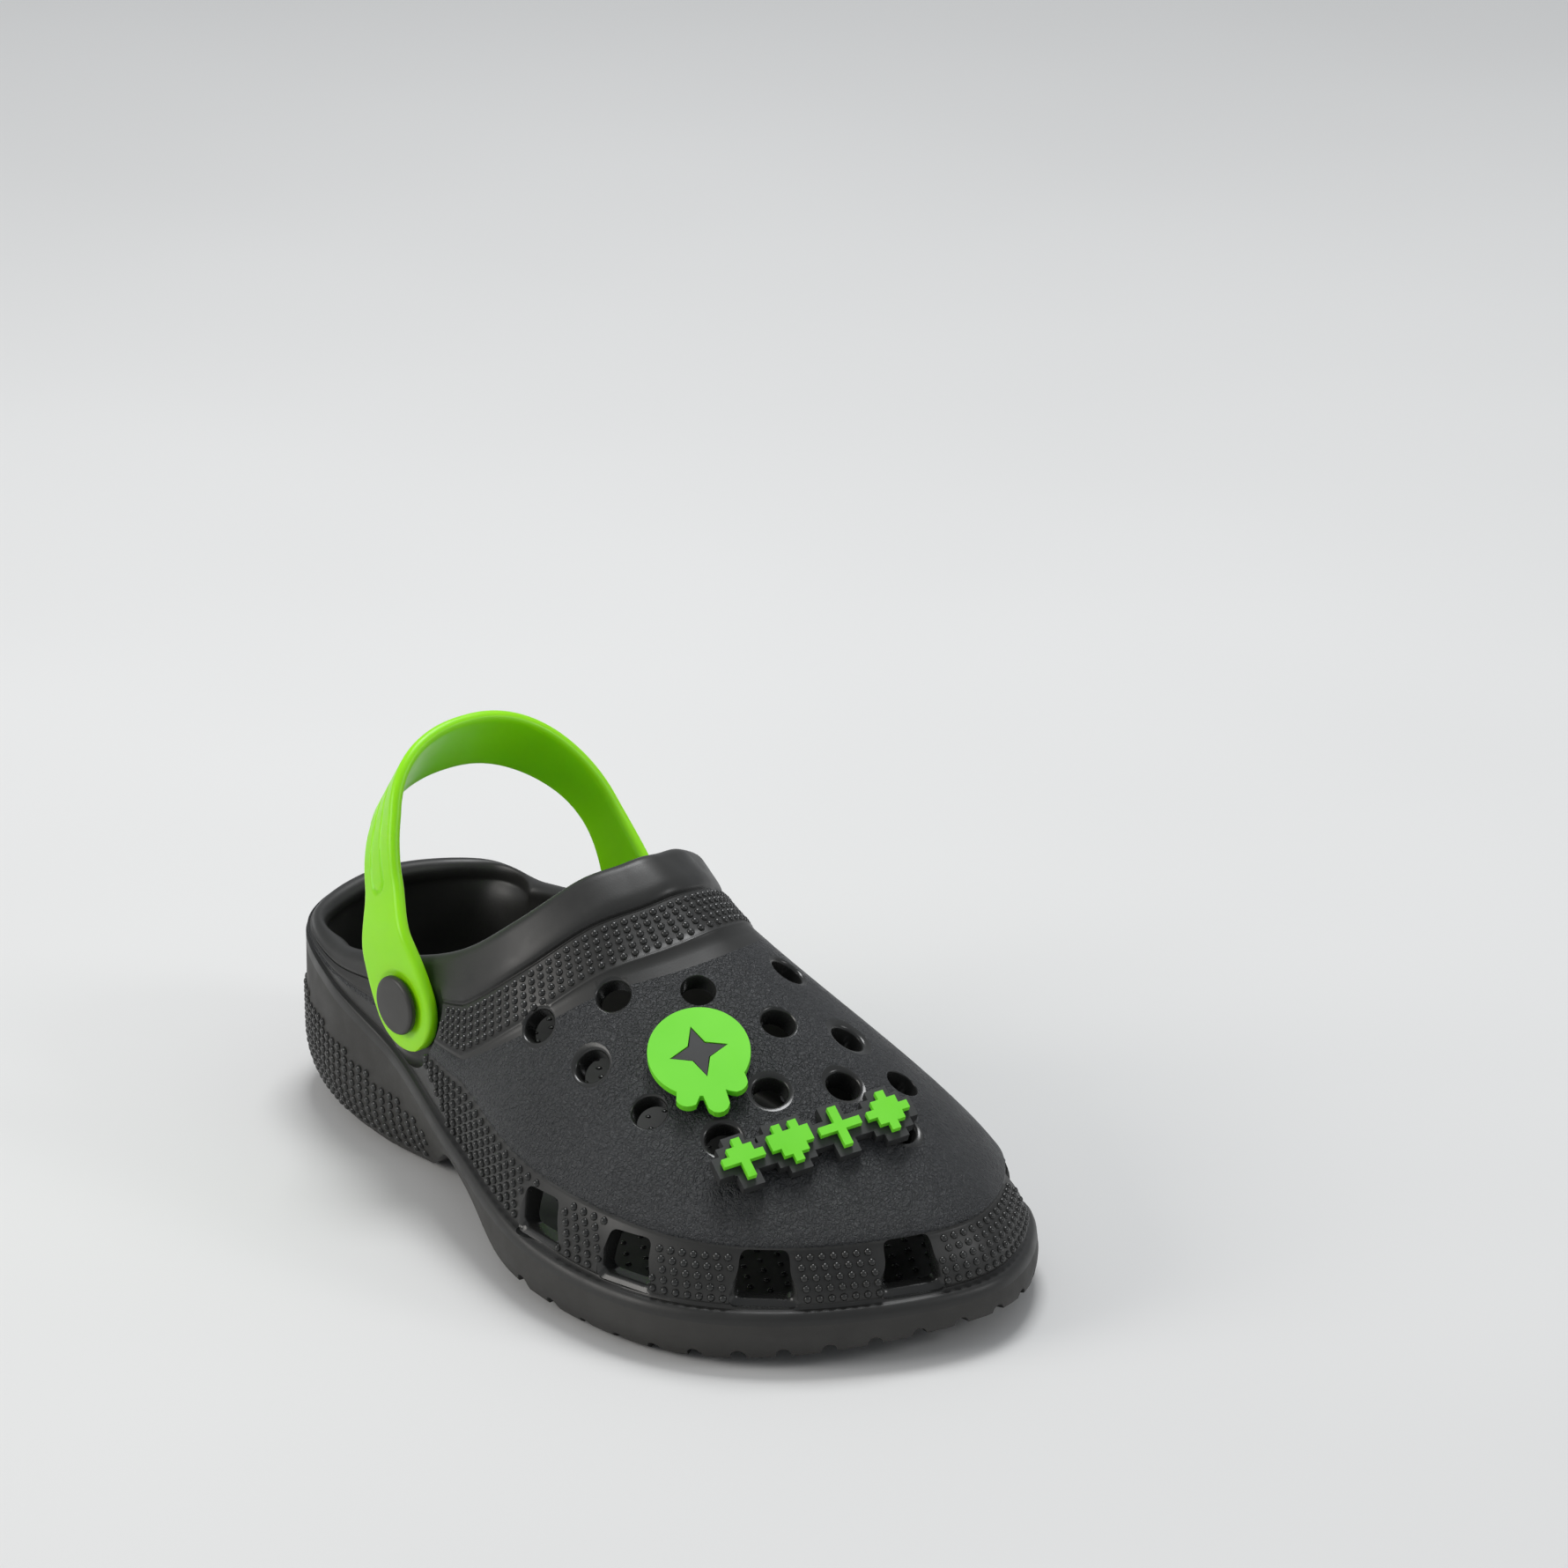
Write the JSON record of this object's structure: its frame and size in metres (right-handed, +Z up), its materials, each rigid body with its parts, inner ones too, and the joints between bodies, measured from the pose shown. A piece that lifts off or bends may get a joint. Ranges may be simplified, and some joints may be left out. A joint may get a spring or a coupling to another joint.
{
  "type": "rubber garden clog",
  "caption": "Moulded foam clog with a vented upper, side windows, a grooved sole, a pivoting heel strap on rivets and push-in charms.",
  "frame": {"origin": "the middle of the bounding box's underside, on the floor that the sole rests on", "axes": "+X from heel to toe, +Y towards the wearer's inner side, +Z up"},
  "size_m": [0.2352, 0.1126, 0.1079],
  "materials": {
    "body_foam": "satin, fine leather grain on the upper",
    "strap_rubber": "smooth satin",
    "rivet_plastic": "satin",
    "charm_dark": "satin",
    "charm_green": "soft satin"
  },
  "bodies": {
    "clog": {"clog_body": "body_foam", "rivet_head_outer": "rivet_plastic", "rivet_washer_outer": "rivet_plastic", "rivet_head_inner": "rivet_plastic", "rivet_washer_inner": "rivet_plastic", "block_charm_base": "charm_dark", "block_charm_arrow": "charm_green", "block_charm_heart": "charm_green", "block_charm_plus": "charm_green", "block_charm_diamond": "charm_green"},
    "strap": {"heel_strap": "strap_rubber"},
    "round_charm": {"round_charm_base": "charm_dark", "round_charm_face": "charm_green"}
  },
  "joints": [
    {"name": "strap_hinge", "type": "hinge", "parent": "clog", "child": "strap", "pos_m": [-0.04258, 0.00046, 0.048], "axis": [0, 1, 0], "range_deg": [-36, 44]},
    {"name": "round_charm_swivel", "type": "hinge", "parent": "clog", "child": "round_charm", "pos_m": [0.04856, -0.01546, 0.05938], "axis": [0.4257, -0.3509, 0.834], "continuous": true}
  ]
}
